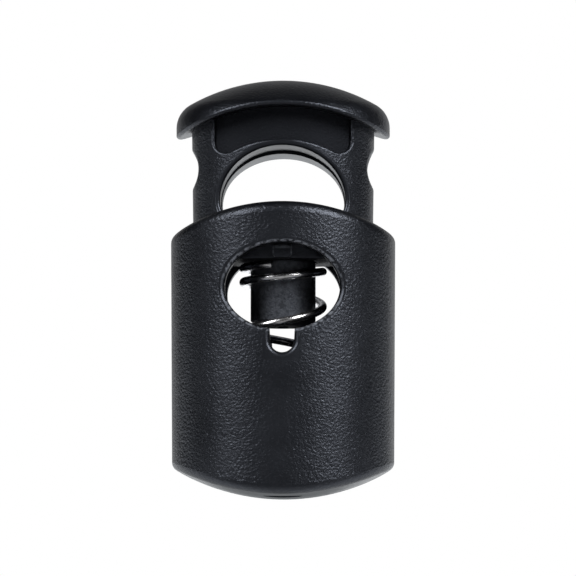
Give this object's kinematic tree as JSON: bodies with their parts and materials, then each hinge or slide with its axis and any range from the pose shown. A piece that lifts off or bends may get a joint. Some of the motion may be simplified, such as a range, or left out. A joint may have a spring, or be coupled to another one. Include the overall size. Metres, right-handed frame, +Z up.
{
  "type": "cord lock",
  "caption": "Oval press-button cord lock: plunger with a cord window in a closed oval barrel with a cord hole, held apart by a coil spring.",
  "frame": {"origin": "centre of the barrel's cord hole, on the middle plane between the front and back walls", "axes": "+Z up along the plunger's travel, towards the cap; X across the oval's long axis; -Y is the front, and the cord runs along Y"},
  "size_m": [0.017, 0.013, 0.0316],
  "materials": {
    "barrel_plastic": "fine spark-eroded grain",
    "plunger_plastic": "satin with fine grain",
    "spring_steel": "bright drawn wire"
  },
  "bodies": {
    "barrel": {"barrel": "barrel_plastic", "spring": "spring_steel"},
    "plunger": {"plunger": "plunger_plastic"}
  },
  "joints": [
    {"name": "plunger_press", "type": "slide", "parent": "barrel", "child": "plunger", "axis": [0, 0, -1], "range_m": [0, 0.007], "stiffness_N_per_m": 700, "springref_m": -0.0048, "deforming": ["spring"]}
  ]
}
